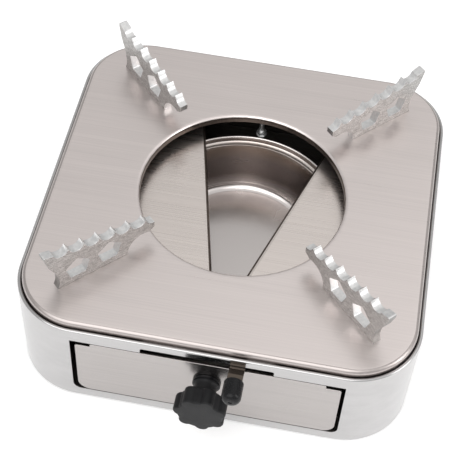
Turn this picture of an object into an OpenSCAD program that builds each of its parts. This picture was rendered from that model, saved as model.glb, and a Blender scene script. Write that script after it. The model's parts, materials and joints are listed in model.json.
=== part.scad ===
// Table-top spirit burner with four pan supports, a pull-out fuel bowl and two swinging dampers.
// Millimetres. +Z is up, the front face looks along -Y, and the feet stand on Z = 0.

/* [Case] */
// Width and depth of the square case
case_w = 300; // [298:1:306]
// Height of the case from its bottom edge to the top of the rolled lip
case_h = 84.2; // [84:0.1:88]
// Plan radius of the case corners
corner_r = 51; // [48:1:54]
// Sheet thickness of the case and the covers
sheet = 1.2; // [1:0.1:1.4]
// Width of the rolled lip round the top of the case
lip_w = 3; // [2.6:0.1:3.2]
// Height that the rubber feet lift the case
foot_proud = 1.5; // [1:0.5:3]

/* [Top plate] */
// Height of the plate above the rolled lip
plate_rise = 5.2; // [4.5:0.1:6]
// Gap between the lip and the plate skirt
plate_gap = 0.6; // [0.4:0.1:1]
// Outer bend radius of the plate edge
plate_bend = 3.4; // [2.5:0.1:4]
// Height of the plate skirt
skirt_h = 12; // [10:1:14]
// Inner radius of the flame hole
hole_r = 79.9; // [79:0.1:81]
// Depth of the flange round the flame hole
hole_flange = 6.2; // [5.5:0.1:8]

/* [Pan supports] */
// Thickness of a pan support
support_t = 7; // [6:0.5:8]
// Distance of a support foot from the centre
support_in = 106.4; // [106:0.1:107]
// Length of a support foot
support_len = 59.4; // [59:0.1:60]
// Distance of a support nose from the centre
nose_s = 83; // [82:0.5:85]
// Distance between two crests
crest_pitch = 12.8; // [12.5:0.1:13]
// Depth of the hollow between two crests
crest_depth = 4.4; // [4:0.1:5]

/* [Dampers] */
// Position of the lever from the middle of its slot
lever_pos = 23; // [-42:1:42]
// Travel of the lever to each side of the middle
lever_travel = 42; // [40:1:42]
// Angle of the left damper when it is fully open
left_full = 16.5; // [15:0.1:17]
// Angle of the right damper when it is fully open
right_full = 22.2; // [20:0.1:22.4]
// Radius of the damper plates
damper_r = 82; // [80:1:83]

/* [Drawer] */
// Width of the window in the case front
window_w = 201; // [200.6:0.2:201.4]
// Width of the drawer panel
panel_w = 194.6; // [194:0.2:196]
// Radius of the bowl rim
rim_r = 79.6; // [79:0.1:80]
// Depth of the bowl
bowl_depth = 45.9; // [40:0.1:46.4]

/* [Controls] */
// Radius over the lobes of the star grip
knob_r = 19.6; // [18:0.1:19.6]
// Number of lobes of the star grip
lobes = 7; // [5:1:9]
// How far the lever cap stands out in front of the case
control_reach = 31.3; // [31:0.1:32]
// Diameter of the lever cap
cap_d = 14.2; // [13:0.1:14.2]

/* [Hidden] */
$fn = 96;
half = case_w / 2;
case_y = control_reach / 2;
floor_z = foot_proud + sheet;
lip_top = foot_proud + case_h;
plate_top = lip_top + plate_rise;
plate_under = plate_top - sheet;
plate_inset = lip_w + plate_gap;
plate_w = case_w - 2 * plate_inset;
plate_r = corner_r - plate_inset;
hole_bend = 2.6;

window_low = foot_proud + 9.3;
window_high = foot_proud + 72.6;
window_x = 0.6;
slot_high = foot_proud + 77.5;
slot_w = 97;
panel_x = 1.1;
panel_low = window_low + 0.6;
panel_high = window_high - 1;
panel_t = 2;
shoulder_w = 11.3;
shoulder_drop = 3.2;

support_screws_s = [support_in + 4.6, support_in + support_len - 5.4];
screw_d = 5;
screw_depth = 8;
window_s = [121.8, 148.5];
window_z = 14.6;
window_r = 10.1;
crest_s = 90.3;
crest_z = 28;
crest_rise = 1 / 6;
support_out = 174.5;

damper_top = foot_proud + 73.6;
damper_bend = 3.2;
damper_flange = 4.2;
hub_x = 12;
hub_y = -116.5;
hub_r = 11.7;
stud_d = 6;
pin_d = 5;
left_pin = [-16, 26];
right_pin = [14, 18];
gap = 0.3;
bent_from = hub_y + 14;
left_rate = left_full / (2 * lever_travel);
right_rate = right_full / (2 * lever_travel);
left_open = left_rate * (lever_pos + lever_travel);
right_open = right_rate * (lever_pos + lever_travel);
slide_z = foot_proud + 74.7;
slide_t = 2;
slide_front = -138;
slide_back = -84;
slide_left = -84;
slide_right = 80;
lever_w = 11;
cap_back = -164.3;
lever_rise = 3.5;

bowl_top = foot_proud + 67.9;
bowl_floor = bowl_top - bowl_depth;
tray_w = 176;
tray_low = foot_proud + 11;
tray_front = -138;
tray_back = 92;
tray_h = 17;
knob_x = 1.5;
knob_z = foot_proud + 48.7;
knob_reach = 28.5;
knob_face = -half - knob_reach;
shaft_r = 4;
bracket_x = 133;
bracket_y = 75;
bracket_z = foot_proud + 72;
stop_x = 2;
stop_y = 88;
stop_z = foot_proud + 62.8;

// ---- shared shapes ----

// Puts the case behind the origin, so that the controls in front balance it.
module place() {
    translate([0, case_y, 0]) children();
}

// Square with round corners, drawn with true arcs.
module round_square(w, d, r) {
    square([w - 2 * r, d], center = true);
    square([w, d - 2 * r], center = true);
    for (x = [-1, 1], y = [-1, 1])
        translate([x * (w / 2 - r), y * (d / 2 - r)]) circle(r);
}

// Carries a section (inset from the outside, height) round a square with round corners.
module sweep_square(w, r) {
    for (k = [0:3]) rotate(90 * k) {
        translate([w / 2 - r, w / 2 - r, 0])
            rotate_extrude(angle = 90) translate([r, 0]) mirror([1, 0]) children();
        translate([w / 2, w / 2 - r, 0])
            rotate([90, 0, 0]) linear_extrude(w - 2 * r) mirror([1, 0]) children();
    }
}

// Upper left quarter of a ring, for a sheet bend round its centre.
module bend_section(r, t) {
    intersection() {
        translate([-r, 0]) square([r, r]);
        difference() {
            circle(r);
            circle(r - t);
        }
    }
}

// Slot between two points, with eased corners at its ends.
module slot_between(a, b, w) {
    run = b - a;
    ease = w / 4;
    translate(a) rotate(atan2(run[1], run[0])) polygon([[-w / 2, ease - w / 2], [ease - w / 2, -w / 2],
        [norm(run) + w / 2 - ease, -w / 2], [norm(run) + w / 2, ease - w / 2],
        [norm(run) + w / 2, w / 2 - ease], [norm(run) + w / 2 - ease, w / 2],
        [ease - w / 2, w / 2], [-w / 2, w / 2 - ease]]);
}

// Hexagon nut with a bore.
module nut(flats, h, bore) {
    difference() {
        cylinder(r = flats / 2 / cos(30), h = h, $fn = 6);
        translate([0, 0, -1]) cylinder(d = bore, h = h + 2);
    }
}

// Pan-head screw that points up, with its head below Z = 0.
module screw_up(d, h, head_d, head_h) {
    cylinder(d = d, h = h);
    translate([0, 0, -head_h]) cylinder(d = head_d, h = head_h);
}

// Places its children at the four corners of a rectangle.
module corners(x, y) {
    for (sx = [-1, 1], sy = [-1, 1]) translate([sx * x, sy * y, 0]) children();
}

// ---- case and base ----

module window_shape() {
    r = 6;
    low_w = window_w - 2 * r;
    translate([-window_w / 2, window_low + r]) square([window_w, window_high - window_low - r]);
    translate([-low_w / 2, window_low]) square([low_w, r]);
    for (x = [-1, 1]) translate([x * low_w / 2, window_low + r]) circle(r);
    slot_r = 1.5;
    translate([-slot_w / 2, window_high - 1]) square([slot_w, slot_high - window_high + 1 - slot_r]);
    translate([-slot_w / 2 + slot_r, slot_high - slot_r]) square([slot_w - 2 * slot_r, slot_r]);
    for (x = [-1, 1]) translate([x * (slot_w / 2 - slot_r), slot_high - slot_r]) circle(slot_r);
}

module case() {
    color("gainsboro") place() difference() {
        sweep_square(case_w, corner_r) {
            translate([0, foot_proud]) square([sheet, case_h - lip_w / 2]);
            translate([lip_w / 2, lip_top - lip_w / 2]) circle(d = lip_w);
            translate([0, foot_proud]) square([12, sheet]);
        }
        translate([window_x, -half + 5, 0]) rotate([90, 0, 0]) linear_extrude(10) window_shape();
        corners(half - 7, 60) translate([0, 0, foot_proud - 1]) cylinder(d = 3.4, h = 4);
    }
}

module base_plate() {
    color("silver") place() difference() {
        translate([0, 0, floor_z]) linear_extrude(1) {
            round_square(case_w - 2 * sheet - 1, case_w - 2 * sheet - 1, corner_r - sheet - 0.5);
        }
        corners(half - 7, 60) translate([0, 0, floor_z - 1]) cylinder(d = 3, h = 4);
        corners(105, 105) translate([0, 0, floor_z - 1]) cylinder(d = 4, h = 4);
    }
}

module base_screws() {
    color("dimgray") place() corners(half - 7, 60)
        translate([0, 0, foot_proud]) screw_up(3, 5, 5.4, 1);
}

module feet() {
    color("black") place() corners(105, 105) difference() {
        cylinder(d1 = 16, d2 = 18, h = floor_z);
        translate([0, 0, -1]) cylinder(d = 9, h = 2);
        cylinder(d = 4, h = 10);
    }
}

module foot_screws() {
    color("dimgray") place() corners(105, 105) translate([0, 0, 1]) difference() {
        union() {
            cylinder(d = 4, h = 5);
            translate([0, 0, -0.5]) cylinder(d = 8, h = 0.5);
        }
        translate([0, 0, -1]) cylinder(d = 2, h = 0.9);
    }
}

// ---- top plate and pan supports ----

module at_supports(s) {
    for (a = [45, 135, 225, 315]) rotate(a) translate([s, 0, 0]) children();
}

module top_plate() {
    color("lightgray") place() difference() {
        union() {
            sweep_square(plate_w, plate_r) {
                translate([plate_bend, plate_top - plate_bend]) bend_section(plate_bend, sheet);
                translate([0, plate_top - skirt_h]) square([sheet, skirt_h - plate_bend]);
            }
            translate([0, 0, plate_under]) linear_extrude(sheet) difference() {
                round_square(plate_w - 2 * plate_bend, plate_w - 2 * plate_bend, plate_r - plate_bend);
                circle(hole_r + hole_bend);
            }
            rotate_extrude() {
                translate([hole_r + hole_bend, plate_top - hole_bend]) bend_section(hole_bend, sheet);
                translate([hole_r, plate_top - hole_flange]) square([sheet, hole_flange - hole_bend]);
            }
        }
        for (s = support_screws_s) at_supports(s)
            translate([0, 0, plate_under - 1]) cylinder(d = screw_d + 0.5, h = 4);
    }
}

// Pentagon with one corner up, and each corner eased in three short flats.
module eased_pentagon(r, corner) {
    polygon([for (k = [0:4]) for (side = [-36, -12, 12, 36])
        (r - corner) * [cos(90 + 72 * k), sin(90 + 72 * k)]
            + corner * [cos(90 + 72 * k + side), sin(90 + 72 * k + side)]]);
}

// Side view of a support: distance from the middle of the plate, and height on the plate.
module support_shape() {
    hollow_r = 5.9;
    top_low = crest_z + (nose_s - crest_s) * crest_rise;
    top_high = crest_z + (support_out - crest_s) * crest_rise;
    difference() {
        polygon([
            [nose_s, 17], [support_in - 14.4, 15.3], [support_in - 14.4, 0],
            [support_out, 0], [support_out, top_high], [nose_s, top_low],
        ]);
        translate([support_in - 13.4, 1.6]) circle(13.4);
        translate([support_in - 15, -1]) square([14.8, 2.4]);
        outer_s = support_in + support_len;
        translate([outer_s + 59.7, 6]) circle(60);
        translate([outer_s, -1]) square([20, 3]);
        for (k = [-1:5]) {
            s = crest_s + crest_pitch * (k + 0.5);
            translate([s, crest_z + (s - crest_s) * crest_rise + hollow_r - crest_depth]) circle(hollow_r);
        }
        for (s = window_s) translate([s, window_z]) eased_pentagon(window_r, 1.6);
    }
}

module support(angle) {
    color("lightsteelblue") place() rotate(angle) translate([0, 0, plate_top]) difference() {
        translate([0, support_t / 2, 0]) rotate([90, 0, 0]) linear_extrude(support_t) support_shape();
        for (s = support_screws_s) translate([s, 0, -1]) cylinder(d = screw_d, h = screw_depth + 1);
    }
}

module support_front_left() { support(225); }
module support_front_right() { support(315); }
module support_back_left() { support(135); }
module support_back_right() { support(45); }

module support_screws() {
    color("silver") place() for (s = support_screws_s) at_supports(s)
        translate([0, 0, plate_under]) screw_up(screw_d, sheet + screw_depth - 0.5, 9, 3);
}

module plate_brackets() {
    arm = half - sheet - 122;
    color("silver") place() for (side = [0, 180]) rotate(side) for (y = [-1, 1] * bracket_y) {
        translate([half - 2 * sheet, y - 10, foot_proud + 56]) cube([sheet, 20, bracket_z - foot_proud - 56]);
        translate([122, y - 10, bracket_z]) difference() {
            cube([arm, 20, sheet]);
            translate([bracket_x - 122, 10, -1]) cylinder(d = 5.4, h = 4);
        }
    }
}

module plate_studs() {
    color("silver") place() corners(bracket_x, bracket_y)
        translate([0, 0, bracket_z - 8]) cylinder(d = 5, h = plate_under - bracket_z + 8);
}

module plate_nuts() {
    color("silver") place() corners(bracket_x, bracket_y) {
        translate([0, 0, bracket_z - 4]) nut(8, 4, 5);
        translate([0, 0, bracket_z + sheet]) nut(8, 4, 5);
    }
}

// ---- stop behind the bowl ----

module stop_stud() {
    low = stop_z - 1;
    color("silver") place() translate([stop_x, stop_y, low]) cylinder(d = 4, h = plate_under - low);
}

module stop_washer() {
    color("silver") place() translate([stop_x, stop_y, stop_z]) difference() {
        cylinder(d = 9, h = 0.8);
        translate([0, 0, -1]) cylinder(d = 4, h = 3);
    }
}

module stop_nut() {
    color("silver") place() translate([stop_x, stop_y, stop_z + 0.8]) rotate(12) nut(7, 3.2, 4);
}

// ---- dampers and their slide ----

module at_hubs() {
    for (x = [-1, 1]) translate([x * hub_x, hub_y, 0]) children();
}

module pivot_studs() {
    low = damper_top - 5;
    color("silver") place() at_hubs()
        translate([0, 0, low]) cylinder(d = stud_d, h = plate_under - low);
}

module pivot_spacers() {
    low = slide_z + slide_t + 0.3;
    color("silver") place() at_hubs() translate([0, 0, low]) difference() {
        cylinder(d = 12, h = plate_under - low);
        translate([0, 0, -1]) cylinder(d = stud_d, h = 20);
    }
}

module pivot_nuts() {
    color("silver") place() at_hubs() translate([0, 0, damper_top - sheet - 3.5]) nut(10, 3.2, stud_d);
}

// Closed damper for the left side: a half disc on a neck that ends in a hub.
module damper_shape() {
    hub = [-hub_x, hub_y];
    reach = norm(hub);
    lean = acos((hub_r - damper_r) / reach);
    normal_a = atan2(-hub[1], -hub[0]) + lean;
    normal = [cos(normal_a), sin(normal_a)];
    translate(hub) circle(hub_r);
    difference() {
        union() {
            circle(damper_r);
            polygon([hub, hub + hub_r * normal, damper_r * normal, [0, 0], [0, hub_y]]);
        }
        translate([-gap, hub_y - 1]) square([damper_r + 1, 2 * damper_r - hub_y]);
        translate([-gap - damper_bend, bent_from]) square([damper_r, 2 * damper_r]);
    }
}

// Closed left damper with its bent inner edge, and bores for the pivot and the follower pin.
module damper(pin) {
    bent_to = damper_r - 1;
    difference() {
        union() {
            translate([0, 0, damper_top - sheet]) linear_extrude(sheet) damper_shape();
            translate([-gap - damper_bend, bent_to, damper_top - damper_bend]) rotate([90, 0, 0])
                linear_extrude(bent_to - bent_from) mirror([1, 0]) bend_section(damper_bend, sheet);
            translate([-gap - sheet, bent_from, damper_top - damper_flange])
                cube([sheet, bent_to - bent_from, damper_flange - damper_bend]);
        }
        translate([-hub_x, hub_y, 0]) cylinder(r = stud_d / 2 + 0.05, h = 100);
        translate([-hub_x + pin[0], hub_y + pin[1], 0]) cylinder(d = 3, h = 100);
    }
}

module damper_left() {
    color("silver") place() translate([-hub_x, hub_y, 0]) rotate(left_open)
        translate([hub_x, -hub_y, 0]) damper(left_pin);
}

module damper_right() {
    color("silver") place() translate([hub_x, hub_y, 0]) rotate(-right_open)
        translate([-hub_x, -hub_y, 0]) mirror([1, 0, 0]) damper([-right_pin[0], right_pin[1]]);
}

// Turns a pin position with its damper, at the opening angle that belongs to a lever position.
function turned(p, a) = [p[0] * cos(a) - p[1] * sin(a), p[0] * sin(a) + p[1] * cos(a)];
function left_pin_at(s) = [-hub_x, hub_y] + turned(left_pin, left_rate * (s + lever_travel));
function right_pin_at(s) = [hub_x, hub_y] + turned(right_pin, -right_rate * (s + lever_travel));

module follower_pin(at) {
    color("silver") place() translate([at[0], at[1], damper_top - sheet]) {
        cylinder(d = 3, h = sheet);
        translate([0, 0, sheet]) cylinder(d = pin_d, h = slide_z + slide_t - damper_top + 1);
    }
}

module follower_pin_left() { follower_pin(left_pin_at(lever_pos)); }
module follower_pin_right() { follower_pin(right_pin_at(lever_pos)); }

// Side view of the lever: it runs out through the slot, then up by a step to its cap.
module lever_side() {
    step_y = -half - 2;
    up_y = cap_back + 5.8;
    end_y = cap_back - 5;
    polygon([[slide_front + 1, 0], [slide_front + 1, slide_t], [step_y, slide_t],
        [up_y, lever_rise + slide_t], [end_y, lever_rise + slide_t], [end_y, lever_rise],
        [up_y, lever_rise], [step_y, 0]]);
}

// Slide with a straight guide slot, two cam slots that turn the dampers, and the lever.
module damper_slide() {
    slot = pin_d + 1;
    color("silver") place() translate([lever_pos, 0, slide_z]) difference() {
        union() {
            translate([slide_left, slide_front, 0])
                cube([slide_right - slide_left, slide_back - slide_front, slide_t]);
            translate([-lever_w / 2, 0, 0]) rotate([90, 0, 90]) linear_extrude(lever_w) lever_side();
        }
        translate([0, 0, -1]) linear_extrude(slide_t + 2) {
            slot_between([-hub_x - lever_travel - 0.5, hub_y], [hub_x + lever_travel + 0.5, hub_y],
                stud_d + 0.4);
            slot_between(left_pin_at(lever_travel) - [lever_travel + 0.5, 0],
                left_pin_at(-lever_travel) + [lever_travel + 0.5, 0], slot);
            slot_between(right_pin_at(lever_travel) - [lever_travel + 0.5, 0],
                right_pin_at(-lever_travel) + [lever_travel + 0.5, 0], slot);
        }
    }
}

module lever_cap() {
    r = 3;
    front = -half - control_reach;
    mid_z = slide_z + lever_rise + slide_t / 2;
    color([0.12, 0.12, 0.13]) place() translate([lever_pos, 0, mid_z]) difference() {
        rotate([90, 0, 0]) rotate_extrude() {
            translate([0, -cap_back]) square([cap_d / 2, cap_back - front - r]);
            translate([0, -front - r]) square([cap_d / 2 - r, r]);
            translate([cap_d / 2 - r, -front - r]) intersection() {
                circle(r);
                square(r);
            }
        }
        translate([-lever_w / 2, cap_back - 5, -slide_t / 2]) cube([lever_w, 6, slide_t]);
    }
}

// ---- drawer ----

// Bent channel that carries the right edge of the tray and keeps it from tipping.
module runner_shape() {
    low = floor_z + 1;
    over_tray = tray_low + tray_h + 0.3;
    web = tray_w / 2 + 1.6;
    translate([0, -132, 0]) {
        translate([78, 0, tray_low - 0.3 - sheet]) cube([web - 78, 222, sheet]);
        translate([web, 0, low]) cube([sheet, 222, over_tray + sheet - low]);
        translate([82, 0, over_tray]) cube([web - 82, 222, sheet]);
        translate([web, 0, low]) cube([12, 222, sheet]);
    }
}

module runner_left() {
    color("gray") place() mirror([1, 0, 0]) runner_shape();
}

module runner_right() {
    color("gray") place() runner_shape();
}

module panel_shape() {
    r = 9.5;
    low_w = panel_w - 2 * r;
    side_high = panel_high - shoulder_drop;
    top_r = 1.5;
    translate([-panel_w / 2, panel_low + r]) square([panel_w, side_high - panel_low - r - top_r]);
    translate([-low_w / 2, panel_low]) square([low_w, r]);
    for (x = [-1, 1]) translate([x * low_w / 2, panel_low + r]) circle(r);
    translate([-panel_w / 2 + top_r, side_high - top_r]) square([panel_w - 2 * top_r, top_r]);
    for (x = [-1, 1]) translate([x * (panel_w / 2 - top_r), side_high - top_r]) circle(top_r);
    mid_w = panel_w - 2 * shoulder_w;
    translate([-mid_w / 2, side_high - 1]) square([mid_w, shoulder_drop + 1]);
}

module drawer_panel() {
    color("gainsboro") place() difference() {
        translate([panel_x, -half + panel_t, 0]) rotate([90, 0, 0]) linear_extrude(panel_t) panel_shape();
        translate([knob_x, -half - 1, knob_z]) rotate([-90, 0, 0]) cylinder(r = 6, h = 4);
    }
}

module drawer_tray() {
    side_len = tray_back + half - panel_t;
    color("silver") place() {
        translate([-tray_w / 2, tray_front, tray_low]) cube([tray_w, tray_back - tray_front, 1]);
        for (x = [-tray_w / 2, tray_w / 2 - 1])
            translate([x, -half + panel_t, tray_low]) cube([1, side_len, tray_h]);
        translate([-tray_w / 2, tray_back - 1, tray_low]) cube([tray_w, 1, tray_h]);
        for (x = [-tray_w / 2, tray_w / 2 - 20])
            translate([x, -half + panel_t, tray_low + 3]) cube([20, 1, tray_h - 3]);
    }
}

module bowl_seat() {
    top = bowl_floor - 1;
    color("gray") place() translate([0, 0, tray_low + 1]) difference() {
        cylinder(r = 50, h = top - tray_low - 1);
        translate([0, 0, -1]) cylinder(r = 46, h = 30);
    }
}

// Deep-drawn bowl with a rolled rim, a recessed step and a tapered wall.
module fuel_bowl() {
    t = 1;
    step_z = bowl_top - 5.3;
    step_r = 72.9;
    low_r = 63;
    fillet = 6.5;
    rim_round = 1.2;
    color("silver") place() rotate_extrude() {
        translate([0, bowl_floor - t]) square([low_r - fillet, t]);
        translate([low_r - fillet, bowl_floor + fillet]) intersection() {
            difference() {
                circle(fillet + t);
                circle(fillet);
            }
            translate([0, -20]) square(20);
        }
        polygon([
            [low_r, bowl_floor + fillet], [low_r + t, bowl_floor + fillet],
            [step_r + t, step_z - t], [rim_r - t, step_z - t], [rim_r - t, bowl_top - rim_round],
            [rim_r - 2 * t, bowl_top - rim_round], [rim_r - 2 * t, step_z], [step_r, step_z],
        ]);
        translate([rim_r - rim_round, bowl_top - rim_round]) circle(rim_round);
    }
}

module shaft_bush() {
    color("goldenrod") place() translate([knob_x, -half, knob_z]) rotate([-90, 0, 0]) difference() {
        union() {
            cylinder(r = 6, h = panel_t);
            translate([0, 0, panel_t]) cylinder(r = 9, h = 1.2);
        }
        translate([0, 0, -1]) cylinder(r = shaft_r + 0.05, h = 8);
    }
}

// ---- star grip and latch ----

module on_shaft(y) {
    place() translate([knob_x, y, knob_z]) rotate([-90, 0, 0]) children();
}

module knob_washer() {
    color("black") on_shaft(-half - 2.2) difference() {
        cylinder(r = 10.4, h = 1.9);
        translate([0, 0, -1]) cylinder(r = shaft_r, h = 4);
    }
}

module star_shape() {
    lobe_r = 5.2;
    circle(knob_r * 0.84);
    for (k = [0:lobes - 1]) rotate(20.5 + 360 / lobes * k) translate([knob_r - lobe_r, 0]) circle(lobe_r);
}

module star_knob() {
    star_t = 14;
    hub_back = -half - 2.2;
    color([0.17, 0.17, 0.18]) difference() {
        union() {
            place() translate([knob_x, knob_face + star_t, knob_z]) rotate([90, 0, 0])
                linear_extrude(star_t) star_shape();
            on_shaft(knob_face + star_t - 1) cylinder(r = 9.6, h = hub_back - knob_face - star_t + 1);
        }
        on_shaft(knob_face + 9) cylinder(r = shaft_r, h = 30);
    }
}

module knob_shaft() {
    color("silver") on_shaft(knob_face + 9) cylinder(r = shaft_r, h = half + knob_reach - 9 - 137);
}

module latch_finger() {
    color("gray") on_shaft(-half + 3.5) difference() {
        union() {
            cylinder(r = 8, h = 2);
            translate([0, -6, 0]) cube([38, 12, 2]);
            translate([38, 0, 0]) cylinder(r = 6, h = 2);
        }
        translate([0, 0, -1]) cylinder(r = shaft_r, h = 4);
    }
}

module latch_nut() {
    color("silver") on_shaft(-half + 5.5) nut(13, 6.5, 2 * shaft_r);
}

case();
base_plate();
base_screws();
feet();
foot_screws();
top_plate();
plate_brackets();
plate_studs();
plate_nuts();
support_front_left();
support_front_right();
support_back_left();
support_back_right();
support_screws();
stop_stud();
stop_washer();
stop_nut();
pivot_studs();
pivot_spacers();
pivot_nuts();
damper_left();
damper_right();
follower_pin_left();
follower_pin_right();
damper_slide();
lever_cap();
runner_left();
runner_right();
drawer_panel();
drawer_tray();
bowl_seat();
fuel_bowl();
shaft_bush();
knob_washer();
star_knob();
knob_shaft();
latch_finger();
latch_nut();
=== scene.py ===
"""Square table-top burner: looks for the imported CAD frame. Metres, row frame, front towards -Y."""
import json
import math
import bpy
import bmesh
from mathutils import Matrix, Vector


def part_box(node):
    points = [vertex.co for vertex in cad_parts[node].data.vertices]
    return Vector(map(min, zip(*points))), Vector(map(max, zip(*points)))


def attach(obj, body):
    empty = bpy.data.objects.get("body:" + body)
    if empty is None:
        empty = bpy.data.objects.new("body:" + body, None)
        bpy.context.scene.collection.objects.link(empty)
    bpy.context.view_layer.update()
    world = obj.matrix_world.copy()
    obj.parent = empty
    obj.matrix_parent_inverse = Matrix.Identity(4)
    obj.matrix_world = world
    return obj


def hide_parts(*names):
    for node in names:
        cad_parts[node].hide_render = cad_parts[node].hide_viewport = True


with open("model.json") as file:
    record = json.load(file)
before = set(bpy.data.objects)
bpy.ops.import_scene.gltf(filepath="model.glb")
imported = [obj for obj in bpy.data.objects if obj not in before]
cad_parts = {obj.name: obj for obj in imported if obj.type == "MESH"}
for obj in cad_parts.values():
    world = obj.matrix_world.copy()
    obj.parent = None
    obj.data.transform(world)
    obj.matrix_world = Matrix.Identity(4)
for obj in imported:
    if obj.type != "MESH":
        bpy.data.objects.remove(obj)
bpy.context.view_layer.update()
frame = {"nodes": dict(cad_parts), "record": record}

MM = 0.001


# ---------------------------------------------------------------- places

def centre(name):
    """Middle of a CAD node's box."""
    lo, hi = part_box(name)
    return [(a + b) / 2 for a, b in zip(lo, hi)]


case_lo, case_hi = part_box("case")
CX, CY = centre("case")[:2]
HALF = (case_hi[0] - case_lo[0]) / 2
FRONT = case_lo[1]
CASE_LOW, CASE_TOP = case_lo[2], case_hi[2]
plate_lo, plate_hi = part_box("top_plate")
PLATE_TOP = plate_hi[2]
bowl_lo, bowl_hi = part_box("fuel_bowl")
BOWL_TOP, RIM_R = bowl_hi[2], (bowl_hi[0] - bowl_lo[0]) / 2
panel_lo, panel_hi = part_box("drawer_panel")
knob_lo, knob_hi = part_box("star_knob")
shaft_c = centre("knob_shaft")
cap_lo, cap_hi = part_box("lever_cap")
damper_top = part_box("damper_left")[1][2]

CORNER_R = 51 * MM  # corner radius of the case
SHEET = 1.2 * MM  # thickness of the case, the plate and the dampers
FRONT_SHIFT = 0.6 * MM  # the drawer's window sits this far right of the middle

# Travel of the lever and the part of it that lies left of its place at rest, in millimetres,
# and what each damper swings over the whole travel, in degrees
LEVER_TRAVEL, LEVER_LEFT = 84, 65
SWING = {"left": 16.5, "right": 22.2}


# ---------------------------------------------------------------- node material helpers

def material(name, base, metallic=0.0, rough=0.5, **sockets):
    m = bpy.data.materials.new(name)
    m.use_nodes = True
    b = m.node_tree.nodes["Principled BSDF"]
    b.inputs["Base Color"].default_value = (*base, 1)
    b.inputs["Metallic"].default_value = metallic
    b.inputs["Roughness"].default_value = rough
    for k, v in sockets.items():
        b.inputs[k.replace("_", " ")].default_value = v
    return m, m.node_tree, b


def node(nt, kind, **inputs):
    n = nt.nodes.new(kind)
    for k, v in inputs.items():
        n.inputs[k.replace("_", " ")].default_value = v
    return n


def coords(nt, scale=(1, 1, 1), shift=(0, 0, 0)):
    """Object coordinates, shifted and stretched."""
    tc = nt.nodes.new("ShaderNodeTexCoord")
    mp = node(nt, "ShaderNodeMapping", Scale=scale, Location=shift)
    nt.links.new(tc.outputs["Object"], mp.inputs["Vector"])
    return mp.outputs["Vector"]


def noise(nt, vector, scale, detail=3.0, rough=0.55, distortion=0.0):
    n = node(nt, "ShaderNodeTexNoise", Scale=scale, Detail=detail, Roughness=rough, Distortion=distortion)
    nt.links.new(vector, n.inputs["Vector"])
    return n.outputs["Fac"]


def remap(nt, value, lo, hi, to_lo, to_hi):
    n = node(nt, "ShaderNodeMapRange", From_Min=lo, From_Max=hi, To_Min=to_lo, To_Max=to_hi)
    nt.links.new(value, n.inputs["Value"])
    return n.outputs["Result"]


def ramp(nt, value, stops):
    n = nt.nodes.new("ShaderNodeValToRGB")
    el = n.color_ramp.elements
    while len(el) < len(stops):
        el.new(0.5)
    for e, (p, c) in zip(el, stops):
        e.position = p
        e.color = (*c, 1)
    nt.links.new(value, n.inputs["Fac"])
    return n.outputs["Color"]


def maths(nt, op, a, b):
    n = nt.nodes.new("ShaderNodeMath")
    n.operation = op
    for i, v in enumerate((a, b)):
        if isinstance(v, (int, float)):
            n.inputs[i].default_value = v
        else:
            nt.links.new(v, n.inputs[i])
    return n.outputs[0]


def blend(nt, a, b, share):
    """The given share of pattern a, and the rest of pattern b."""
    return maths(nt, "ADD", maths(nt, "MULTIPLY", a, share), maths(nt, "MULTIPLY", b, 1 - share))


def tone(nt, shader, pattern, stops):
    """Base colour that follows a pattern."""
    nt.links.new(ramp(nt, pattern, stops), shader.inputs["Base Color"])


def sheen(nt, shader, pattern, lo, hi):
    """Roughness that follows a pattern."""
    nt.links.new(remap(nt, pattern, 0.3, 0.7, lo, hi), shader.inputs["Roughness"])


def bump(nt, shader, height, strength, distance):
    n = node(nt, "ShaderNodeBump", Strength=strength, Distance=distance)
    nt.links.new(height, n.inputs["Height"])
    nt.links.new(n.outputs["Normal"], shader.inputs["Normal"])


# ---------------------------------------------------------------- mesh helpers

def link(obj):
    bpy.context.scene.collection.objects.link(obj)
    return obj


def weld(mesh):
    """Merges points that coincide, and turns all faces outwards."""
    bm = bmesh.new()
    bm.from_mesh(mesh)
    bmesh.ops.remove_doubles(bm, verts=bm.verts, dist=1e-7)
    bmesh.ops.recalc_face_normals(bm, faces=bm.faces)
    bm.to_mesh(mesh)
    bm.free()


def sharpen(obj, angle=32):
    """Smooth faces with hard edges above an angle, and normals that follow the large faces."""
    bm = bmesh.new()
    bm.from_mesh(obj.data)
    limit = math.radians(angle)
    for f in bm.faces:
        f.smooth = True
    for e in bm.edges:
        e.smooth = len(e.link_faces) == 2 and e.calc_face_angle(math.pi) < limit
    bm.to_mesh(obj.data)
    bm.free()
    wn = obj.modifiers.new("weighted", "WEIGHTED_NORMAL")
    wn.keep_sharp = True
    wn.weight = 90
    return obj


def add(name, mesh, mats, angle=32):
    """New object with its materials and its smooth and hard edges."""
    obj = link(bpy.data.objects.new(name, mesh))
    for m in mats if isinstance(mats, (list, tuple)) else [mats]:
        obj.data.materials.append(m)
    return sharpen(obj, angle)


def mesh_from(name, verts, faces):
    me = bpy.data.meshes.new(name)
    me.from_pydata([tuple(v) for v in verts], [], faces)
    weld(me)
    return me


def loops_mesh(name, loops, closed_rows=True):
    """Skins rows of points, one row after the other; the last row joins the first if closed_rows."""
    n = len(loops[0])
    verts = [p for row in loops for p in row]
    faces = []
    count = len(loops)
    for i in range(count if closed_rows else count - 1):
        j = (i + 1) % count
        for k in range(n):
            k2 = (k + 1) % n
            faces.append((i * n + k, i * n + k2, j * n + k2, j * n + k))
    return mesh_from(name, verts, faces)


def polar(cx, cy, r, degrees):
    """Point at a distance and an angle from a centre."""
    a = math.radians(degrees)
    return cx + r * math.cos(a), cy + r * math.sin(a)


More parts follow.
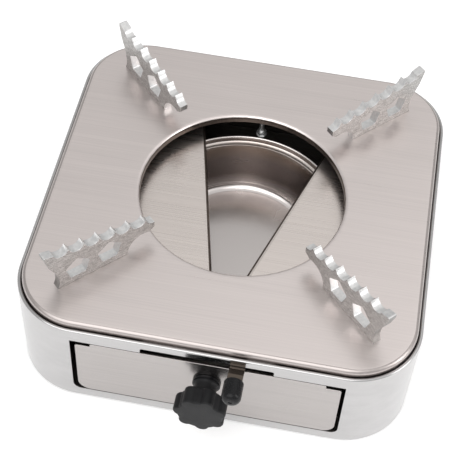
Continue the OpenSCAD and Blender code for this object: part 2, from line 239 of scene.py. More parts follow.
def arc(cx, cy, r, a0, a1, n):
    """Points along an arc from a0 to a1 degrees, in n steps."""
    return [polar(cx, cy, r, a0 + (a1 - a0) * i / n) for i in range(n + 1)]


def in_mm(points):
    return [(x * MM, y * MM) for x, y in points]


def square_row(inset, z, w, r, per_corner=28, per_side=10):
    """One loop round a square of half width w with corner radius r, moved in by inset."""
    h, rr = w - inset, max(r - inset, 0.5 * MM)
    pts = []
    for k in range(4):
        c, s = math.cos(k * math.pi / 2), math.sin(k * math.pi / 2)
        part = arc(h - rr, h - rr, rr, 0, 90, per_corner)
        last_x, next_x = part[-1][0], -(h - rr)
        part += [(last_x + (next_x - last_x) * i / per_side, h) for i in range(1, per_side)]
        pts += [(CX + x * c - y * s, CY + x * s + y * c, z) for x, y in part]
    return pts


def lathe(name, profile, steps=128, at=(0, 0), closed=True):
    """Turns a profile of radius and height about the Z axis."""
    rows = []
    for r, z in profile:
        rows.append([(*polar(*at, max(r, 1e-5), 360 * k / steps), z) for k in range(steps)])
    return loops_mesh(name, rows, closed)


def extruded(name, outlines, depth, round_edge, place, steps=2):
    """Flat shape with holes, given thickness along its normal, with rounded rims. place is a 4x4 matrix."""
    cu = bpy.data.curves.new(name, "CURVE")
    cu.dimensions = "2D"
    cu.fill_mode = "BOTH"
    cu.extrude = depth / 2 - round_edge
    cu.bevel_depth = round_edge
    cu.bevel_resolution = steps
    cu.offset = -round_edge
    for pts in outlines:
        sp = cu.splines.new("POLY")
        sp.points.add(len(pts) - 1)
        for p, (x, y) in zip(sp.points, pts):
            p.co = (x, y, 0, 1)
        sp.use_cyclic_u = True
    tmp = link(bpy.data.objects.new(name + "_tmp", cu))
    me = bpy.data.meshes.new_from_object(tmp.evaluated_get(bpy.context.evaluated_depsgraph_get()))
    bpy.data.objects.remove(tmp)
    me.name = name
    weld(me)
    me.materials.clear()
    me.transform(place)
    return me


def upright(x, y, z):
    """Matrix that stands a flat shape up in the XZ plane, with its face towards -Y."""
    return Matrix.Translation((x, y, z)) @ Matrix.Rotation(math.pi / 2, 4, "X")


def join_meshes(name, meshes):
    bm = bmesh.new()
    for me in meshes:
        bm.from_mesh(me)
    out = bpy.data.meshes.new(name)
    bm.to_mesh(out)
    bm.free()
    return out


def cut(obj, cutter_mesh):
    """Takes the cutter's shape out of an object."""
    cutter = link(bpy.data.objects.new("cutter", cutter_mesh))
    mod = obj.modifiers.new("cut", "BOOLEAN")
    mod.operation = "DIFFERENCE"
    mod.solver = "EXACT"
    mod.object = cutter
    me = bpy.data.meshes.new_from_object(obj.evaluated_get(bpy.context.evaluated_depsgraph_get()))
    obj.modifiers.remove(mod)
    obj.data = me
    bpy.data.objects.remove(cutter)


# ---------------------------------------------------------------- materials

def brushed(name, base, dark, rough=(0.22, 0.36), along="X", grain=1.0, strength=0.12, spread=0.55):
    """Sheet steel with fine scratches along one axis, wider bands and cloudy polishing.

    grain is the fineness of the scratches, spread their share against the bands, strength their depth.
    """
    m, nt, b = material(name, base, 1.0, rough[1])
    fine = {"X": (6, 900, 900), "Z": (900, 900, 6)}[along]
    wide = {"X": (3, 130, 130), "Z": (130, 130, 3)}[along]
    scratch = noise(nt, coords(nt, [v * grain for v in fine]), 1.0, 2.0, 0.6)
    band = noise(nt, coords(nt, wide), 1.0, 2.0, 0.5)
    cloud = noise(nt, coords(nt), 14.0, 3.0, 0.6, 0.4)
    both = blend(nt, scratch, band, spread)
    tone(nt, b, both, [(0.30, dark), (0.66, base)])
    sheen(nt, b, blend(nt, both, cloud, 0.6), *rough)
    bump(nt, b, both, strength, 0.2 * MM)
    return m


def bowl_metal():
    """Deep-drawn bright steel: rings from the drawing tool, a painted highlight at the floor's corner, and
    a wall darkened partly by heat tint and partly as painted shade.
    """
    m, nt, b = material("bowl_steel", (0.66, 0.60, 0.58), 1.0, 0.24)
    place = coords(nt, shift=(-CX, -CY, -bowl_lo[2]))
    rings = nt.nodes.new("ShaderNodeTexWave")
    rings.wave_type = "RINGS"
    rings.rings_direction = "Z"
    for k, v in (("Scale", 190.0), ("Distortion", 1.0), ("Detail", 2.0), ("Detail Scale", 1.5)):
        rings.inputs[k].default_value = v
    nt.links.new(place, rings.inputs["Vector"])
    cloud = noise(nt, coords(nt, (18, 18, 60)), 1.0, 3.0, 0.5, 0.4)
    sep = nt.nodes.new("ShaderNodeSeparateXYZ")
    nt.links.new(place, sep.inputs[0])
    height = remap(nt, sep.outputs["Z"], 0.0, 50 * MM, 0.0, 1.0)
    cloudy = maths(nt, "ADD", height, maths(nt, "MULTIPLY", maths(nt, "SUBTRACT", cloud, 0.5), 0.22))
    # tones from the floor, over its corner with a painted highlight and the wall with painted shade, to the
    # rim
    tone_with_painted_light = ramp(nt, cloudy, [
        (0.03, (0.63, 0.59, 0.575)), (0.17, (0.92, 0.86, 0.835)), (0.30, (0.42, 0.368, 0.35)),
        (0.60, (0.385, 0.338, 0.322)), (0.78, (0.50, 0.41, 0.35)), (0.90, (0.72, 0.67, 0.645))])
    # painted shadow: dark line where the step meets the wall
    white, shade = (1, 1, 1), (0.30, 0.28, 0.27)
    groove_painted_shadow = ramp(nt, height, [(0.845, white), (0.858, shade), (0.905, shade), (0.918, white)])
    mix = node(nt, "ShaderNodeMixRGB", Fac=1.0)
    mix.blend_type = "MULTIPLY"
    nt.links.new(tone_with_painted_light, mix.inputs["Color1"])
    nt.links.new(groove_painted_shadow, mix.inputs["Color2"])
    nt.links.new(mix.outputs["Color"], b.inputs["Base Color"])
    sheen(nt, b, cloud, 0.18, 0.28)
    bump(nt, b, rings.outputs["Fac"], 0.03, 0.3 * MM)
    return m


def cast_metal():
    """Sawn aluminium sides of the supports: fine even grain."""
    m, nt, b = material("support_grain", (0.56, 0.545, 0.53), 1.0, 0.46)
    grain = noise(nt, coords(nt), 1100.0, 2.0, 0.6)
    lines = noise(nt, coords(nt, (220, 220, 1500)), 1.0, 2.0, 0.6)
    both = blend(nt, grain, lines, 0.5)
    tone(nt, b, both, [(0.38, (0.28, 0.272, 0.265)), (0.62, (0.62, 0.607, 0.595))])
    sheen(nt, b, both, 0.38, 0.54)
    bump(nt, b, both, 0.25, 0.4 * MM)
    return m


def milled_metal():
    """Cut edge of the supports: smooth, with soft marks."""
    m, nt, b = material("support_edge", (0.80, 0.79, 0.78), 1.0, 0.38)
    marks = noise(nt, coords(nt, (420, 420, 420)), 1.0, 2.0, 0.5)
    tone(nt, b, marks, [(0.3, (0.70, 0.70, 0.70)), (0.7, (0.82, 0.815, 0.81))])
    sheen(nt, b, marks, 0.34, 0.44)
    return m


def moulded(name, base, light, rough, grain=1400.0, strength=0.25):
    """Moulded plastic or rubber with a fine texture."""
    m, nt, b = material(name, base, 0.0, rough, Specular_IOR_Level=0.22)
    tex = noise(nt, coords(nt), grain, 3.0, 0.6)
    patch = noise(nt, coords(nt), 60.0, 3.0, 0.6)
    tone(nt, b, patch, [(0.35, base), (0.75, light)])
    sheen(nt, b, tex, rough - 0.07, rough + 0.08)
    bump(nt, b, tex, strength, 0.3 * MM)
    return m


def plated(name, base, dark, rough):
    """Zinc-plated or turned metal with a soft cloud."""
    m, nt, b = material(name, base, 1.0, rough)
    cloud = noise(nt, coords(nt), 240.0, 3.0, 0.6)
    tone(nt, b, cloud, [(0.3, dark), (0.7, base)])
    sheen(nt, b, cloud, rough - 0.08, rough + 0.1)
    bump(nt, b, cloud, 0.1, 0.3 * MM)
    return m


MAT = {
    "case": brushed("case_steel", (0.535, 0.527, 0.527), (0.48, 0.473, 0.473), (0.12, 0.24),
                    grain=0.6, strength=0.04, spread=0.3),
    "plate": brushed("plate_steel", (0.82, 0.750, 0.728), (0.755, 0.69, 0.67), (0.26, 0.38),
                     grain=1.3, strength=0.06, spread=0.75),
    # painted shade: a darker copy of the plate steel for the outer bend, against the highlight it catches
    "bend": brushed("plate_bend", (0.50, 0.455, 0.44), (0.44, 0.40, 0.385), (0.24, 0.36),
                    grain=1.3, strength=0.05, spread=0.75),
    "panel": brushed("panel_steel", (0.478, 0.451, 0.440), (0.422, 0.397, 0.387), (0.18, 0.30),
                     grain=1.2, strength=0.06, spread=0.7),
    "damper": brushed("damper_steel", (0.82, 0.75, 0.71), (0.735, 0.67, 0.635), (0.22, 0.36),
                      strength=0.08, spread=0.7),
    # painted shade: dark steel for the inside of the case, where shade falls
    "well_painted_shade": brushed("case_inside_painted_shade", (0.17, 0.155, 0.145), (0.11, 0.10, 0.095), (0.50, 0.66),
                    grain=0.7, strength=0.06),
    "inner": brushed("inner_steel", (0.30, 0.29, 0.28), (0.20, 0.19, 0.18), (0.40, 0.56),
                     grain=0.7, strength=0.10),
    # partly heat tint, partly painted shade: dark steel for the hole wall and the dampers' faces towards
    # the gap
    "heat_tint_and_shade": brushed("heated_steel_and_painted_shade", (0.19, 0.155, 0.135), (0.12, 0.098, 0.085), (0.26, 0.42),
                      along="Z", grain=0.7),
    # painted shade: dark steel for the slide and its lever, which sit in shade
    "lever": brushed("lever_steel_painted_shade", (0.14, 0.115, 0.095), (0.08, 0.066, 0.055), (0.34, 0.50),
                     grain=0.6, strength=0.2),
    "bowl": bowl_metal(),
    "grain": cast_metal(),
    "milled": milled_metal(),
    # painted shade: darker metal for the outer end of the supports
    "end": plated("support_end_painted_shade", (0.42, 0.415, 0.405), (0.28, 0.275, 0.27), 0.44),
    "cap": moulded("cap_plastic", (0.006, 0.006, 0.007), (0.009, 0.009, 0.01), 0.24, 900.0, 0.03),
    "knob": moulded("knob_plastic", (0.008, 0.008, 0.009), (0.014, 0.014, 0.015), 0.46, 1500.0, 0.2),
    "rubber": moulded("rubber", (0.018, 0.018, 0.018), (0.03, 0.03, 0.03), 0.75, 1100.0, 0.4),
    # painted light: the fastener colour is raised so that the nut under the plate edge shows as brightly
    # lit
    "fastener": plated("fastener_steel", (0.86, 0.86, 0.86), (0.70, 0.70, 0.70), 0.44),
    "brass": plated("bush_brass", (0.78, 0.60, 0.30), (0.60, 0.44, 0.20), 0.30),
}

BY_SLOT = {
    "case_steel": "case", "plate_steel": "plate", "panel_steel": "panel", "damper_steel": "damper",
    "bowl_steel": "bowl", "inner_steel": "inner", "fastener_steel": "fastener",
    "support_aluminium": "grain", "plastic_black": "cap", "knob_plastic": "knob",
    "rubber_black": "rubber", "bush_brass": "brass",
}


def dress_cad():
    """Each CAD node gets the material of its slot; the slide and its lever are darkened as painted shade.
    """
    for part in frame["record"]["subparts"]:
        obj = frame["nodes"].get(part["node"])
        if obj:
            look = "lever" if part["node"] == "damper_slide" else BY_SLOT[part["material_slot"]]
            obj.data.materials.clear()
            obj.data.materials.append(MAT[look])


dress_cad()


# ---------------------------------------------------------------- case

def front_opening():
    """Window for the drawer, with the lever slot on top of it."""
    half, low, high, corner_r = 100.5 * MM, CASE_LOW + 9.3 * MM, CASE_LOW + 72.6 * MM, 6 * MM
    slot_half, slot_high, slot_r = 48.5 * MM, CASE_LOW + 77.5 * MM, 1.5 * MM
    ease = 0.6 * MM
    pts = arc(-half + corner_r, low + corner_r, corner_r, 180, 270, 8)
    pts += arc(half - corner_r, low + corner_r, corner_r, 270, 360, 8)
    pts += arc(half - ease, high - ease, ease, 0, 90, 3) + [(slot_half, high)]
    pts += arc(slot_half - slot_r, slot_high - slot_r, slot_r, 0, 90, 5)
    pts += arc(-slot_half + slot_r, slot_high - slot_r, slot_r, 90, 180, 5) + [(-slot_half, high)]
    pts += arc(-half + ease, high - ease, ease, 90, 180, 3)
    return pts


def make_case():
    """Four-sided shell with a rolled lip at the top and a narrow turned-in edge below."""
    low, top = CASE_LOW, CASE_TOP
    lip, ease, turned_in = 1.5 * MM, 0.8 * MM, 12 * MM
    # inset and height, up the outside, over the lip and down the inside
    section = [(0.6 * MM, low), (0.0, low + 0.6 * MM), (0.0, top - lip - 4 * MM), (0.0, top - lip)]
    section += arc(lip, top - lip, lip, 160, 0, 8)
    section += [(lip * 2 - 0.2 * MM, top - lip - 0.9 * MM), (lip + 0.4 * MM, top - 2 * lip + 0.1 * MM),
                (SHEET, top - 2 * lip), (SHEET, top - 12 * MM), (SHEET, low + SHEET + ease),
                (SHEET + ease, low + SHEET), (turned_in, low + SHEET), (turned_in, low)]
    me = loops_mesh("case_shell", [square_row(i, z, HALF, CORNER_R) for i, z in section])
    obj = link(bpy.data.objects.new("case_shell", me))
    cut(obj, extruded("window", [front_opening()], 20 * MM, 0.0, upright(CX + FRONT_SHIFT, FRONT, 0)))
    obj.data.materials.clear()
    obj.data.materials.append(MAT["case"])
    obj.data.materials.append(MAT["well_painted_shade"])
    # painted shade: the inside below the lip is darker
    for p in obj.data.polygons:
        inward = p.normal.x * (CX - p.center.x) + p.normal.y * (CY - p.center.y)
        if p.center.z < top - 10 * MM and (inward > 0.02 or p.normal.z > 0.9):
            p.material_index = 1
    bev = obj.modifiers.new("edge", "BEVEL")
    bev.width = 0.25 * MM
    bev.segments = 2
    bev.limit_method = "ANGLE"
    bev.angle_limit = math.radians(50)
    sharpen(obj, 40)
    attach(obj, "stove")
    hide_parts("case")


make_case()


# ---------------------------------------------------------------- top plate

def make_plate():
    """Pressed plate with a bent skirt round it and a turned-down flame hole."""
    half = (plate_hi[0] - plate_lo[0]) / 2
    corner_r = CORNER_R - (HALF - half)
    top, low = PLATE_TOP, plate_lo[2]
    bend, t = 3.4 * MM, SHEET
    hole, hole_bend, hole_deep = 79.9 * MM, 2.6 * MM, 6.2 * MM
    ease = 0.2 * MM

    def square(inset, z):
        return square_row(inset, z, half, corner_r)

    directions = [math.degrees(math.atan2(y - CY, x - CX)) for x, y, _ in square(0, top)]

    def ring(radius, z):
        return [(*polar(CX, CY, radius, a), z) for a in directions]

    def between(share, z):
        a, b = square(bend, z), ring(hole + hole_bend, z)
        return [tuple(p + (q - p) * share for p, q in zip(u, v)) for u, v in zip(a, b)]

    # up the skirt, over the top, down into the hole and back along the underside
    rows = [square(0.15 * MM, low), square(0, low + 0.15 * MM), square(0, top - bend - 3 * MM)]
    rows += [square(i, z) for i, z in arc(bend, top - bend, bend, 180, 90, 9)]
    rows += [between(share, top) for share in (0.03, 0.5, 0.97)]
    rows += [ring(r, z) for r, z in arc(hole + hole_bend, top - hole_bend, hole_bend, 90, 180, 6)]
    rows += [ring(hole, top - hole_deep + ease), ring(hole + ease, top - hole_deep),
             ring(hole + t - ease, top - hole_deep), ring(hole + t, top - hole_deep + ease),
             ring(hole + t, top - hole_bend), ring(hole + t + 0.4 * MM, top - t - 0.3 * MM),
             ring(hole + hole_bend, top - t), between(0.5, top - t), square(bend, top - t),
             square(t + 0.6 * MM, top - t - 0.7 * MM), square(t, top - bend),
             square(t, low + 0.15 * MM), square(t - 0.15 * MM, low)]
    mats = [MAT["plate"], MAT["heat_tint_and_shade"], MAT["bend"]]
    obj = add("burner_plate", loops_mesh("burner_plate", rows), mats, 40)
    # heat-stained wall of the hole, darkened further as painted shade, and an outer bend darkened as
    # painted shade
    for p in obj.data.polygons:
        reach = math.hypot(p.center.x - CX, p.center.y - CY)
        if reach < hole + 2 * MM and abs(p.normal.z) < 0.5:
            p.material_index = 1
        elif reach > 100 * MM and p.normal.z < 0.97:
            p.material_index = 2
    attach(obj, "stove")
    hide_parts("top_plate")


make_plate()


# ---------------------------------------------------------------- pan supports

def support_outline():
    """Side view of a support: distance from the burner's centre and height over the plate, in mm."""
    foot_in, foot_out = 106.4, 165.8
    pitch, notches, notch_r, sink = 12.8, 7, 5.9, 1.5
    first_crest, crest_height, rise = 90.3, 28.0, 1 / 6
    nose = 83.4
    pts = [(foot_in, 0.0), (foot_out, 0.0)]
    # outer end: hollow at the foot, then out to the horn
    pts += [(164.5, 3.2), (163.9, 6.5), (164.1, 10.5), (165.2, 15.5), (167.2, 21.0), (170.0, 26.2),
            (171.0, 28.0), (172.4, 33.0), (174.1, 38.5), (174.5, 40.6), (174.2, 41.6), (173.2, 41.9)]
    # notches along the sloping top, from the horn to the nose; each is a little less than half a circle
    start = math.degrees(math.asin(-sink / notch_r))
    for k in reversed(range(-1, notches - 1)):
        s = first_crest + pitch * (k + 0.5)
        notch = arc(s, crest_height + (s - first_crest) * rise + sink, notch_r, start, -180 - start, 12)
        pts += [p for p in notch if p[0] > nose]
    pts += [(nose - 0.4, 22.4), (nose - 0.4, 17.6), (nose, 17.0)]
    # hollow under the nose
    return pts + arc(93.0, 1.6, 13.4, 112, 0, 14)


def pentagon(cx, cz, r, corner_r):
    """Five-sided window with rounded corners, one corner up."""
    pts = []
    for a in range(90, 450, 72):
        pts += arc(*polar(cx, cz, r - corner_r, a), corner_r, a - 36, a + 36, 5)
    return pts


def make_supports():
    thick, rim, outer_end = 7 * MM, 0.35 * MM, 161 * MM
    window_height, window_r, window_corner = 14.6, 10.1, 1.6
    windows = [in_mm(pentagon(s, window_height, window_r, window_corner)) for s in (121.8, 148.5)]
    shape = [in_mm(support_outline()), *windows]
    for name, ang in (("front_left", 225), ("front_right", 315), ("back_left", 135), ("back_right", 45)):
        place = (Matrix.Translation((CX, CY, PLATE_TOP)) @ Matrix.Rotation(math.radians(ang), 4, "Z")
                 @ Matrix.Rotation(math.pi / 2, 4, "X"))
        me = extruded("rack_" + name, shape, thick, rim, place, 1)
        obj = add("rack_" + name, me, [MAT["grain"], MAT["milled"], MAT["end"]], 30)
        outward = Vector((*polar(0, 0, 1, ang), 0))
        side = Vector((*polar(0, 0, 1, ang + 90), 0))
        # flat sides are sawn, all edges milled, and the outer end is darkened as painted shade
        for p in obj.data.polygons:
            p.material_index = int(abs(p.normal.dot(side)) < 0.6)
            reach = (p.center - Vector((CX, CY, 0))).dot(outward)
            if p.material_index and p.normal.dot(outward) > 0.3 and reach > outer_end:
                p.material_index = 2
        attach(obj, "stove")
        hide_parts("support_" + name)


make_supports()


# ---------------------------------------------------------------- fuel bowl

def make_bowl():
    """Deep-drawn bowl of 1 mm sheet with a step below its rolled rim."""
    t = 1 * MM
    top, floor = BOWL_TOP, bowl_lo[2] + t
    wall_r, floor_fillet, rim_roll = 63 * MM, 6.5 * MM, 1.2 * MM

    def below(*pairs):
        return [(r * MM, top - z * MM) for r, z in pairs]

    # inside, from the middle of the floor up to the rim
    profile = [(0, floor), (30 * MM, floor), (wall_r - floor_fillet, floor)]
    profile += arc(wall_r - floor_fillet, floor + floor_fillet, floor_fillet, -80, 0, 8)
    profile += below((72.7, 6.3), (73.0, 5.6), (73.6, 5.35), (74.8, 5.35), (76.0, 5.1), (76.9, 4.4),
                     (77.2, 3.2))
    profile += arc(RIM_R - rim_roll, top - rim_roll, rim_roll, 180, -60, 12)
    # outside, back down to the middle
    profile += below((78.3, 2.7), (78.2, 4.0), (77.6, 5.3), (76.4, 6.15), (74.9, 6.4), (73.9, 6.7))
    profile += [(wall_r + t, floor + floor_fillet)]
    profile += arc(wall_r - floor_fillet, floor + floor_fillet, floor_fillet + t, -10, -90, 8)
    profile += [(30 * MM, floor - t), (0, floor - t)]
    obj = add("bowl", lathe("bowl", profile, 160, (CX, CY)), MAT["bowl"], 34)
    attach(obj, "drawer")
    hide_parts("fuel_bowl")


make_bowl()


# ---------------------------------------------------------------- dampers

# Place and size of the left hub, radius of the blades, and the bend along their inner edge, in millimetres
HUB_X, HUB_Y, HUB_R, HUB_BORE_R = 12.0, -116.5, 11.7, 3.05
BLADE_R = 82.0
GAP, FOLD, FLANGE = 0.3, 3.5, 4.2
BEND_FROM = HUB_Y + 14


def blade_outline():
    """Closed left damper from above: half disc, hub, and the straight line that joins them."""
    # the line from the disc to the hub touches both circles
    lean = math.degrees(math.acos((HUB_R - BLADE_R) / math.hypot(HUB_X, HUB_Y)))
    touch = math.degrees(math.atan2(-HUB_Y, HUB_X)) + lean
    pts = [p for p in arc(0, 0, BLADE_R, touch, 90 + 2.4, 40) if p[0] <= -FOLD]
    pts += [(-FOLD, math.sqrt(BLADE_R ** 2 - FOLD ** 2)), (-FOLD, BEND_FROM),
            (-GAP, HUB_Y + 12.5), (-GAP, HUB_Y)]
    return pts + arc(-HUB_X, HUB_Y, HUB_R, 0, touch - 360, 24)[1:]


def blade_edge(name):
    """Inner edge of the left damper, rolled over and down; the side towards the gap is darkened as painted
    shade, partly heat-stained.
    """
    t, ease = SHEET / MM, 0.15
    outer_r = FOLD - GAP
    inner_r = outer_r - t
    section = [(-FOLD + x, z - outer_r) for x, z in arc(0, 0, outer_r, 90, 0, 9)]
    section += [(-GAP, -FLANGE + ease), (-GAP - ease, -FLANGE),
                (-GAP - t + ease, -FLANGE), (-GAP - t, -FLANGE + ease)]
    section += [(-FOLD + x, z - outer_r) for x, z in arc(0, 0, inner_r, 0, 90, 6)]
    n = len(section)
    stations = (BEND_FROM, HUB_Y + 40, 0.0, 60.0, BLADE_R - 0.8)
    verts = [(x * MM, y * MM, damper_top + z * MM) for y in stations for x, z in section]
    faces = [(i * n + k, i * n + (k + 1) % n, (i + 1) * n + (k + 1) % n, (i + 1) * n + k)
             for i in range(len(stations) - 1) for k in range(n)]
    faces += [tuple(range(n)), tuple((len(stations) - 1) * n + k for k in reversed(range(n)))]
    me = mesh_from(name, verts, faces)
    # painted shade: the faces towards the gap take the dark heat-tint-and-shade steel
    for p in me.polygons:
        p.material_index = int(p.center.x > (-FOLD + 1.2) * MM)
    return me


def damper_mesh(name, side, angle):
    """Left damper for side 1 and its mirror image for side -1, turned about its pivot."""
    bore = arc(-HUB_X, HUB_Y, HUB_BORE_R, 0, 345, 23)
    level = Matrix.Translation((0, 0, damper_top - SHEET / 2))
    flat = extruded(name, [in_mm(blade_outline()), in_mm(bore)], SHEET, 0.2 * MM, level, 1)
    me = join_meshes(name, [flat, blade_edge(name + "_bend")])
    pivot = Matrix.Translation((CX - side * HUB_X * MM, CY + HUB_Y * MM, 0))
    turn = Matrix.Rotation(math.radians(angle) * side, 4, "Z")
    flip = Matrix.Diagonal((side, 1, 1, 1))
    back = Matrix.Translation((HUB_X * side * MM, -HUB_Y * MM, 0))
    me.transform(pivot @ turn @ back @ flip)
    if side < 0:
        me.flip_normals()
    return me


def make_dampers():
    for name, side in (("left", 1), ("right", -1)):
        angle = SWING[name] * LEVER_LEFT / LEVER_TRAVEL
        me = damper_mesh("flap_" + name, side, angle)
        obj = add("flap_" + name, me, [MAT["damper"], MAT["heat_tint_and_shade"]], 40)
        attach(obj, name + "_damper")
        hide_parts("damper_" + name)


make_dampers()


# ---------------------------------------------------------------- drawer front

def make_panel():
    """Flat front with rounded lower corners, and shoulders beside its raised middle."""
    lo, hi = panel_lo, panel_hi
    mid_x, half, low, high = (hi[0] + lo[0]) / 2, (hi[0] - lo[0]) / 2, lo[2], hi[2]
    corner_r, shoulder_r, ease = 9.5 * MM, 1.5 * MM, 0.4 * MM
    step = half - 11.3 * MM
    shoulder = high - 3.2 * MM
    bore_r = 6 * MM
    pts = arc(-half + corner_r, low + corner_r, corner_r, 180, 270, 12)
    pts += arc(half - corner_r, low + corner_r, corner_r, 270, 360, 12)
    pts += arc(half - shoulder_r, shoulder - shoulder_r, shoulder_r, 0, 90, 5)
    pts += [(step, shoulder), (step, high - ease), (step - ease, high)]
    pts += [(-step + ease, high), (-step, high - ease), (-step, shoulder)]
    pts += arc(-half + shoulder_r, shoulder - shoulder_r, shoulder_r, 90, 180, 5)
    bore = arc(shaft_c[0] - mid_x, shaft_c[2], bore_r, 0, 350, 35)
    me = extruded("front", [pts, bore], hi[1] - lo[1], 0.35 * MM, upright(mid_x, (lo[1] + hi[1]) / 2, 0), 2)
    obj = add("drawer_front", me, MAT["panel"], 40)
    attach(obj, "drawer")
    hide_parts("drawer_panel")


make_panel()


# ---------------------------------------------------------------- star grip and lever cap

def star_outline():
    """Round lobes with a shallow valley between each two."""
    lobes, first, outer_r, lobe_r, valley_r = 7, 20.5, 19.6 * MM, 5.2 * MM, 16.75 * MM
    step = 360 / lobes
    pts = []
    for k in range(lobes):
        a = first + step * k
        pts += arc(*polar(0, 0, outer_r - lobe_r, a), lobe_r, a - 72, a + 72, 12)
        pts += arc(0, 0, valley_r, a + step / 2 - 6, a + step / 2 + 6, 2)
    return pts


def star_mesh(cx, y0, cz, thick):
    """Star-shaped disc with eased rims."""
    # depth from the face in millimetres, and how far the outline is drawn in
    t = thick / MM
    levels = ((0.0, 0.55), (0.1, 0.93), (0.35, 0.965), (0.8, 0.985), (1.4, 1.0),
              (t - 2.2, 1.0), (t - 1.0, 0.985), (t - 0.3, 0.95), (t, 0.88), (t, 0.5))
    outline = star_outline()
    rows = [[(cx + x * s, y0 + d * MM, cz + z * s) for x, z in outline] for d, s in levels]
    star = loops_mesh("star", rows, closed_rows=False)
    bm = bmesh.new()
    bm.from_mesh(star)
    bmesh.ops.holes_fill(bm, edges=[e for e in bm.edges if e.is_boundary], sides=0)
    bmesh.ops.recalc_face_normals(bm, faces=bm.faces)
    bm.to_mesh(star)
    bm.free()
    return star


def make_knob():
    cx, cz = shaft_c[0], shaft_c[2]
    thick = 14 * MM
    hub_at = knob_lo[1] + thick
    length = knob_hi[1] - hub_at
    profile = [(1e-5, 0), (9.2 * MM, 0), (9.0 * MM, 1 * MM), (8.4 * MM, 3.4 * MM),
               (8.3 * MM, length - 3 * MM), (9.0 * MM, length - 1.2 * MM), (9.6 * MM, length - 0.8 * MM),
               (9.6 * MM, length), (1e-5, length)]
    hub = lathe("hub", profile, 64, closed=False)
    hub.transform(Matrix.Translation((cx, hub_at, cz)) @ Matrix.Rotation(-math.pi / 2, 4, "X"))
    me = join_meshes("star_grip", [star_mesh(cx, knob_lo[1], cz, thick), hub])
    obj = add("star_grip", me, MAT["knob"], 50)
    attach(obj, "latch_knob")
    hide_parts("star_knob")


make_knob()


def make_cap():
    """Round cap with a domed end and a small dimple in it."""
    cx, cz = (cap_lo[0] + cap_hi[0]) / 2, (cap_lo[2] + cap_hi[2]) / 2
    r, length = (cap_hi[0] - cap_lo[0]) / 2, cap_hi[1] - cap_lo[1]
    dome_r = 4.5 * MM
    profile = [(1e-5, 0), (r - 1.2 * MM, 0), (r - 0.4 * MM, 0.3 * MM), (r, 1.2 * MM), (r, length - dome_r)]
    profile += arc(r - dome_r, length - dome_r, dome_r, 15, 90, 5)
    profile += [(1.4 * MM, length), (1.2 * MM, length - 0.5 * MM), (1e-5, length - 0.5 * MM)]
    me = lathe("cap", profile, 64, closed=False)
    me.transform(Matrix.Translation((cx, cap_hi[1], cz)) @ Matrix.Rotation(math.pi / 2, 4, "X"))
    obj = add("lever_cap_soft", me, MAT["cap"], 40)
    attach(obj, "lever_slide")
    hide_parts("lever_cap")


make_cap()


# ---------------------------------------------------------------- CAD nodes that stay

def crisp_rims():
    """Smooth faces with hard edges on every CAD node that is still seen."""
    for obj in frame["nodes"].values():
        if obj.hide_render:
            continue
        for p in obj.data.polygons:
            p.use_smooth = True
        split = obj.modifiers.new("hard", "EDGE_SPLIT")
        split.split_angle = math.radians(32)


crisp_rims()


# ---------------------------------------------------------------- floor, light, camera

def make_floor():
    """Large white sheet with a slight glow, so that it stays as bright as its surroundings."""
    mat, nt, b = material("floor", (0.93, 0.93, 0.93), 0.0, 0.85,
                          Emission_Color=(1, 1, 1, 1), Emission_Strength=0.22)
    cloud = noise(nt, coords(nt), 3.0, 2.0, 0.5)
    tone(nt, b, cloud, [(0.3, (0.925, 0.925, 0.925)), (0.7, (0.935, 0.935, 0.935))])
    bm = bmesh.new()
    bmesh.ops.create_grid(bm, x_segments=1, y_segments=1, size=6)
    me = bpy.data.meshes.new("floor")
    bm.to_mesh(me)
    bm.free()
    me.materials.append(mat)
    floor = link(bpy.data.objects.new("floor", me))
    floor.location = (0, 0, -0.2 * MM)


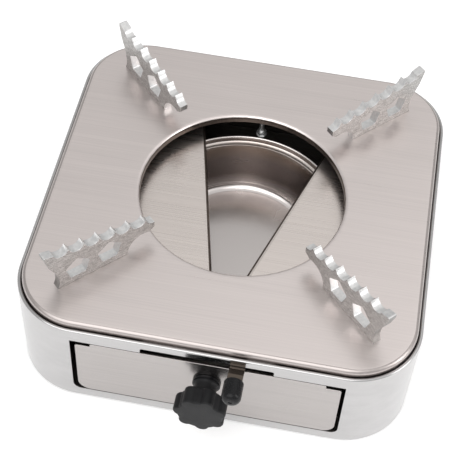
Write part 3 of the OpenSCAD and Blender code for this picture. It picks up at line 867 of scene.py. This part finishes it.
def make_world():
    """Studio surround: grey near the horizon, and a bright band high up that the steel reflects."""
    world = bpy.data.worlds.new("studio")
    bpy.context.scene.world = world
    world.use_nodes = True
    nt = world.node_tree
    background = nt.nodes["Background"]
    tc = nt.nodes.new("ShaderNodeTexCoord")
    sep = nt.nodes.new("ShaderNodeSeparateXYZ")
    nt.links.new(tc.outputs["Generated"], sep.inputs[0])
    # the band leans: it starts lower on the right
    lift = maths(nt, "ADD", sep.outputs["Z"], maths(nt, "MULTIPLY", sep.outputs["X"], 0.35))
    sky = ramp(nt, remap(nt, lift, 0.0, 1.2, 0.0, 1.0),
               [(0.0, (0.60, 0.60, 0.60)), (0.57, (0.60, 0.60, 0.595)), (0.645, (0.66, 0.66, 0.655)),
                (0.70, (1.03, 1.025, 1.02)), (0.76, (1.03, 1.02, 1.01)),
                (0.86, (0.84, 0.835, 0.83)), (1.0, (0.84, 0.835, 0.83))])
    nt.links.new(sky, background.inputs["Color"])
    background.inputs["Strength"].default_value = 1.0


def area_light(name, size, energy, place):
    """Rectangular light that shines at the burner."""
    light = bpy.data.lights.new(name, "AREA")
    light.shape = "RECTANGLE"
    light.size, light.size_y = size
    light.energy = energy
    obj = link(bpy.data.objects.new(name, light))
    obj.location = place
    obj.rotation_euler = (Vector((0, 0, 0.05)) - Vector(place)).to_track_quat("-Z", "Y").to_euler()


def make_camera():
    """Camera in front, a little to the right and high up, slightly rolled."""
    azimuth, elevation, roll = (math.radians(a) for a in (7.185, 51.606, 3.856))
    distance = 1.0138
    target = Vector((CX - 8.8 * MM, CY + 7.2 * MM, CASE_LOW + 30 * MM))
    back = Vector((math.sin(azimuth) * math.cos(elevation), -math.cos(azimuth) * math.cos(elevation),
                   math.sin(elevation)))
    level = (-back).cross(Vector((0, 0, 1))).normalized()
    above = level.cross(-back)
    right = math.cos(roll) * level + math.sin(roll) * above
    up = -math.sin(roll) * level + math.cos(roll) * above
    cam = bpy.data.cameras.new("camera")
    cam.sensor_width = 36
    cam.lens = 97.074
    cam.clip_start, cam.clip_end = 0.05, 50
    obj = link(bpy.data.objects.new("camera", cam))
    place = Matrix((right, up, back)).transposed().to_4x4()
    place.translation = target + back * distance
    obj.matrix_world = place
    bpy.context.scene.camera = obj


make_floor()
make_world()
area_light("front_key", (2.6, 2.6), 34, (-0.6, -1.6, 2.0))
area_light("right_soft", (0.8, 1.2), 8, (1.7, -0.3, 0.9))
make_camera()
bpy.context.scene.view_settings.view_transform = "Standard"
bpy.context.scene.view_settings.look = "None"
